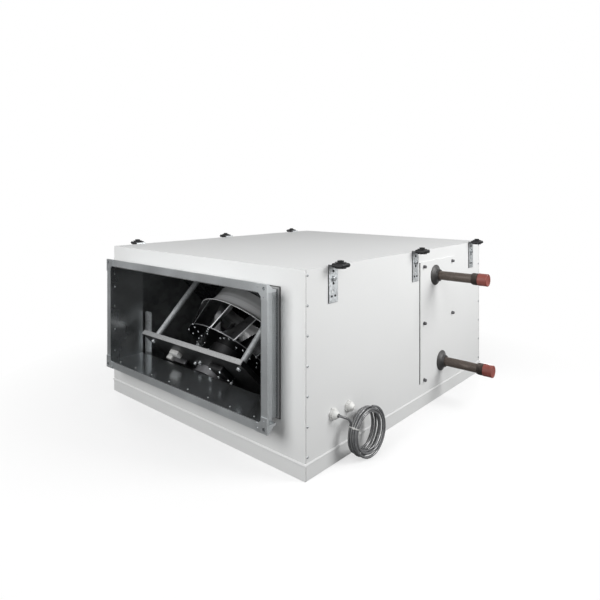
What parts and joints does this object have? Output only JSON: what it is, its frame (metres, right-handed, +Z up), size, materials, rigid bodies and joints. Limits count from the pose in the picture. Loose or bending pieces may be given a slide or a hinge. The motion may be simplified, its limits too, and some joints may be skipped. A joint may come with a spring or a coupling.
{
  "type": "air handling unit",
  "caption": "Flat insulated air handling unit with a tilted plug fan seen through its flanged outlet, side heater pipes, rubber-mounted hangers and a coiled control cable.",
  "frame": {"origin": "centre of the underside of the base cover", "axes": "+Z up, -Y out of the outlet duct flange, +X out of the side with the heater pipes and cable glands"},
  "size_m": [1.052, 1.105, 0.494],
  "materials": {
    "painted_case": "satin light grey paint",
    "galvanised": "galvanised sheet",
    "dark_steel": "dark coated steel",
    "cast_motor": "die cast",
    "black_rubber": "matte",
    "pipe_steel": "brown lacquered steel",
    "red_plastic": "matte",
    "white_plastic": "satin",
    "cable_grey": "glossy sheath",
    "filter_cloth": "pleated fibre"
  },
  "bodies": {
    "case": {"base_cover": "painted_case", "front_wall": "painted_case", "rear_wall": "painted_case", "left_wall": "painted_case", "right_wall": "painted_case", "top_panel": "painted_case", "heater_cover": "painted_case", "outlet_collar": "galvanised", "outlet_gasket": "black_rubber", "outlet_rails": "galvanised", "outlet_corners": "galvanised", "inlet_collar": "galvanised", "inlet_gasket": "black_rubber", "inlet_rails": "galvanised", "inlet_corners": "galvanised", "fan_partition": "galvanised", "inlet_nozzle": "galvanised", "motor_housing": "cast_motor", "motor_bracket": "galvanised", "spacer_tubes": "galvanised", "upright_strips": "galvanised", "heater_coil": "galvanised", "filter_frame": "galvanised", "filter_media": "filter_cloth", "hangers_left": "galvanised", "hangers_right": "galvanised", "hanger_isolators": "black_rubber", "upper_pipe": "pipe_steel", "lower_pipe": "pipe_steel", "upper_rosette": "black_rubber", "lower_rosette": "black_rubber", "upper_cap": "red_plastic", "lower_cap": "red_plastic", "front_gland": "white_plastic", "rear_gland": "white_plastic", "cable_lead": "cable_grey", "cable_coil": "cable_grey", "cable_tie": "white_plastic"},
    "impeller": {"impeller_disc": "dark_steel", "impeller_blades": "galvanised", "impeller_shroud": "galvanised", "motor_rotor": "dark_steel", "motor_shaft": "galvanised"}
  },
  "joints": [
    {"name": "impeller_spin", "type": "hinge", "parent": "case", "child": "impeller", "pos_m": [-0.045, -0.316, 0.158], "axis": [0, 0.7133, 0.7009], "continuous": true}
  ]
}
